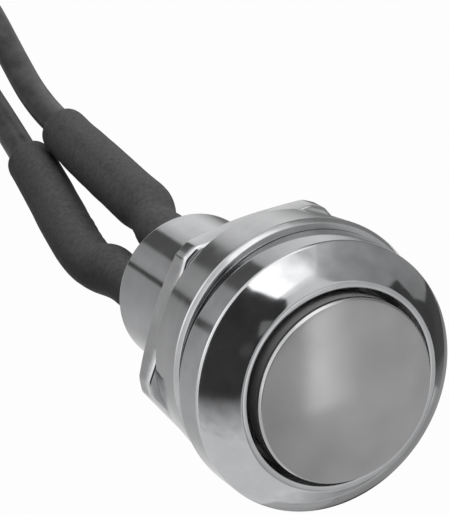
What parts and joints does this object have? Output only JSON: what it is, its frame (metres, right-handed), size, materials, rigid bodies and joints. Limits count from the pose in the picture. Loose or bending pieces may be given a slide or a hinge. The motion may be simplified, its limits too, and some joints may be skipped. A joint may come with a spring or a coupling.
{
  "type": "pushbutton switch",
  "caption": "Momentary panel pushbutton with a domed satin cap, a bevelled chrome bezel, a collar and nut on its shank, a plain barrel and flying leads.",
  "frame": {"origin": "on the push axis, where the rear of the bezel's rim seats on its panel", "axes": "+Z along the push axis, out of the panel towards the user; X through the two terminals"},
  "size_m": [0.0297, 0.0231, 0.1438],
  "materials": {
    "chrome_body": "mirror chrome plate",
    "chrome_collar": "bright turned plate",
    "chrome_nut": "bright plate",
    "satin_button": "satin",
    "black_rubber": "matte",
    "plunger_moulding": "natural moulding",
    "spring_steel": "drawn wire",
    "contact_bronze": "bright",
    "base_moulding": "phenolic",
    "fibre": "vulcanised fibre",
    "terminal_brass": "bright",
    "solder": "soldered",
    "heat_shrink": "matte",
    "lead_insulation": "soft sheen",
    "tinned_copper": "tinned strands"
  },
  "bodies": {
    "switch_body": {"bezel_body": "chrome_body", "panel_gasket": "black_rubber", "spacer_collar": "chrome_collar", "hex_nut": "chrome_nut", "return_spring": "spring_steel", "contact_base": "base_moulding", "rear_insulator": "fibre", "terminal_left": "terminal_brass", "terminal_right": "terminal_brass", "solder_left": "solder", "solder_right": "solder", "sleeve_left": "heat_shrink", "sleeve_right": "heat_shrink", "lead_left": "lead_insulation", "lead_right": "lead_insulation", "tinned_end_left": "tinned_copper", "tinned_end_right": "tinned_copper"},
    "button": {"button_cap": "satin_button", "plunger": "plunger_moulding", "plunger_oring": "black_rubber", "contact_disc": "contact_bronze", "contact_clip": "spring_steel"}
  },
  "joints": [
    {"name": "button_press", "type": "slide", "parent": "switch_body", "child": "button", "axis": [0, 0, -1], "range_m": [0, 0.002], "stiffness_N_per_m": 900, "springref_m": -0.002, "deforming": ["return_spring"]}
  ]
}
